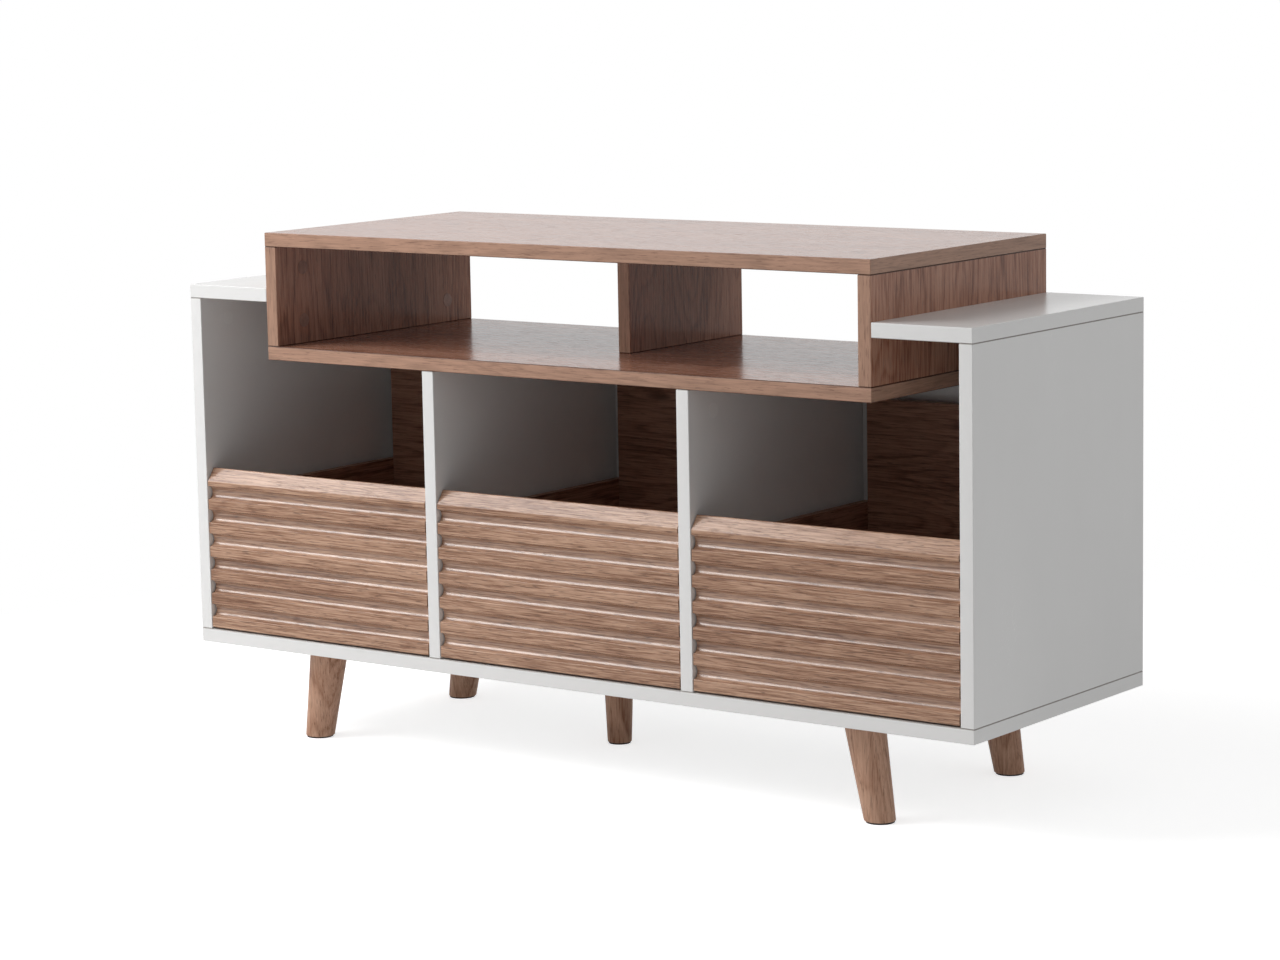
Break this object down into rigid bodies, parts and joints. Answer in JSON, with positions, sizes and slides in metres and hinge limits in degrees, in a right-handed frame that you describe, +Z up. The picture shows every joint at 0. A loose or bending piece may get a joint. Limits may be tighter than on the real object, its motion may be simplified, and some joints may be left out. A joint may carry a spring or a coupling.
{
  "type": "media cabinet",
  "caption": "Low media cabinet: pale carcass on splayed tapered legs, walnut bridge box set into the top, and ribbed-front record drawers with tall backs under open bays.",
  "frame": {"origin": "middle of the footprint, on the floor", "axes": "+X to the right along the length, +Y to the back, +Z up"},
  "size_m": [1.2, 0.395, 0.669],
  "materials": {
    "pale_board": "satin pale melamine",
    "walnut_board": "satin walnut-look foil",
    "oak_front": "satin ribbed oak-look foil",
    "drawer_wood": "satin walnut-look foil",
    "leg_wood": "satin lacquer",
    "dowel_wood": "raw beech",
    "pale_cap": "matt",
    "walnut_cap": "matt",
    "felt": "matt",
    "zinc": "zinc plated",
    "rail_steel": "zinc plated, rolled"
  },
  "bodies": {
    "carcass": {"bottom_panel": "pale_board", "left_side_panel": "pale_board", "right_side_panel": "pale_board", "left_divider": "pale_board", "right_divider": "pale_board", "left_wing_top": "pale_board", "right_wing_top": "pale_board", "left_back_panel": "pale_board", "centre_back_panel": "pale_board", "right_back_panel": "pale_board", "left_wing_back": "pale_board", "right_wing_back": "pale_board", "bridge_top": "walnut_board", "bridge_bottom": "walnut_board", "bridge_left_side": "walnut_board", "bridge_right_side": "walnut_board", "bridge_upright": "walnut_board", "front_left_leg": "leg_wood", "front_right_leg": "leg_wood", "rear_left_leg": "leg_wood", "rear_right_leg": "leg_wood", "support_leg": "leg_wood", "leg_plates": "zinc", "leg_plate_screws": "zinc", "leg_bolts": "zinc", "cam_locks": "zinc", "cabinet_rail_screws": "zinc", "cam_bolts": "rail_steel", "cabinet_rails": "rail_steel", "foot_glides": "felt", "dowels": "dowel_wood", "pale_cam_caps": "pale_cap", "walnut_cam_caps": "walnut_cap"},
    "left_middle": {"left_middle_rails": "rail_steel"},
    "left_drawer": {"left_drawer_front": "oak_front", "left_drawer_left_side": "drawer_wood", "left_drawer_right_side": "drawer_wood", "left_drawer_back": "drawer_wood", "left_drawer_bottom": "drawer_wood", "left_drawer_dowels": "dowel_wood", "left_drawer_rails": "rail_steel", "left_drawer_rail_screws": "zinc"},
    "centre_middle": {"centre_middle_rails": "rail_steel"},
    "centre_drawer": {"centre_drawer_front": "oak_front", "centre_drawer_left_side": "drawer_wood", "centre_drawer_right_side": "drawer_wood", "centre_drawer_back": "drawer_wood", "centre_drawer_bottom": "drawer_wood", "centre_drawer_dowels": "dowel_wood", "centre_drawer_rails": "rail_steel", "centre_drawer_rail_screws": "zinc"},
    "right_middle": {"right_middle_rails": "rail_steel"},
    "right_drawer": {"right_drawer_front": "oak_front", "right_drawer_left_side": "drawer_wood", "right_drawer_right_side": "drawer_wood", "right_drawer_back": "drawer_wood", "right_drawer_bottom": "drawer_wood", "right_drawer_dowels": "dowel_wood", "right_drawer_rails": "rail_steel", "right_drawer_rail_screws": "zinc"}
  },
  "joints": [
    {"name": "left_drawer_slide", "type": "slide", "parent": "carcass", "child": "left_drawer", "axis": [0, -1, 0], "range_m": [0, 0.34]},
    {"name": "centre_drawer_slide", "type": "slide", "parent": "carcass", "child": "centre_drawer", "axis": [0, -1, 0], "range_m": [0, 0.34]},
    {"name": "right_drawer_slide", "type": "slide", "parent": "carcass", "child": "right_drawer", "axis": [0, -1, 0], "range_m": [0, 0.34]},
    {"name": "left_middle_slide", "type": "slide", "parent": "carcass", "child": "left_middle", "axis": [0, -1, 0], "range_m": [0, 0.17]},
    {"name": "centre_middle_slide", "type": "slide", "parent": "carcass", "child": "centre_middle", "axis": [0, -1, 0], "range_m": [0, 0.17]},
    {"name": "right_middle_slide", "type": "slide", "parent": "carcass", "child": "right_middle", "axis": [0, -1, 0], "range_m": [0, 0.17]}
  ],
  "couplings": [
    {"joint": "left_middle_slide", "follows": "left_drawer_slide", "ratio": 0.5},
    {"joint": "centre_middle_slide", "follows": "centre_drawer_slide", "ratio": 0.5},
    {"joint": "right_middle_slide", "follows": "right_drawer_slide", "ratio": 0.5}
  ]
}
